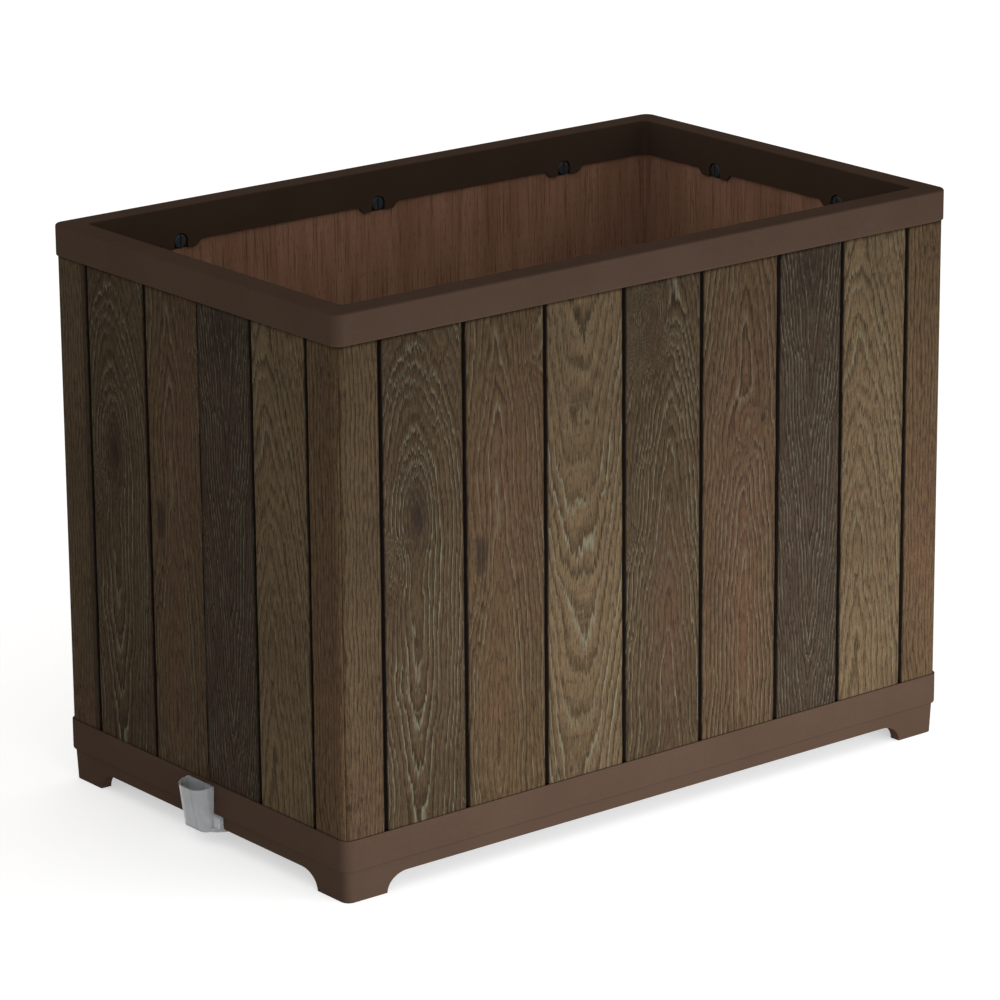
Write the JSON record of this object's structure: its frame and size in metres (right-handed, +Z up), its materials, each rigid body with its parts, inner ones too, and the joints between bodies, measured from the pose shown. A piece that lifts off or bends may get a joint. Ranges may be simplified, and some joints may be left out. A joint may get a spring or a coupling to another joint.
{
  "type": "self-watering planter box",
  "caption": "Tall rectangular self-watering planter box with wood-look plank walls, a capping rim, a footed base tray with a water reservoir, and a clear level gauge cup low on one end.",
  "frame": {"origin": "on the ground, under the middle of the whole, gauge included; the box's own middle is 10.5 mm further along +X", "axes": "+X along the long side, +Y from front to back, +Z up; the gauge is on the -X end"},
  "size_m": [0.833, 0.492, 0.61],
  "materials": {
    "plank_resin": "moulded and printed wood grain, low sheen",
    "brown_resin": "fine matte texture",
    "screw_nylon": "satin, slate grey",
    "black_resin": "matte black",
    "clear_resin": "clear, lightly frosted by moulding",
    "seal_rubber": "matte black"
  },
  "bodies": {
    "planter_box": {"base_tray": "brown_resin", "panel_front": "plank_resin", "panel_back": "plank_resin", "panel_left": "plank_resin", "panel_right": "plank_resin", "corner_post_front_left": "plank_resin", "corner_post_front_right": "plank_resin", "corner_post_back_left": "plank_resin", "corner_post_back_right": "plank_resin", "rim_frame": "brown_resin", "rim_screws": "screw_nylon", "gauge_seal": "seal_rubber"},
    "gauge": {"level_gauge": "clear_resin"},
    "platform": {"soil_platform": "black_resin"},
    "basket_left": {"wick_basket_left": "black_resin"},
    "basket_right": {"wick_basket_right": "black_resin"}
  },
  "joints": [
    {"name": "gauge_pull", "type": "slide", "parent": "planter_box", "child": "gauge", "axis": [-1, 0, 0], "range_m": [0, 0.06]},
    {"name": "platform_lift", "type": "slide", "parent": "planter_box", "child": "platform", "axis": [0, 0, 1], "range_m": [0, 0.56]},
    {"name": "basket_left_lift", "type": "slide", "parent": "platform", "child": "basket_left", "axis": [0, 0, 1], "range_m": [0, 0.6]},
    {"name": "basket_right_lift", "type": "slide", "parent": "platform", "child": "basket_right", "axis": [0, 0, 1], "range_m": [0, 0.6]}
  ]
}
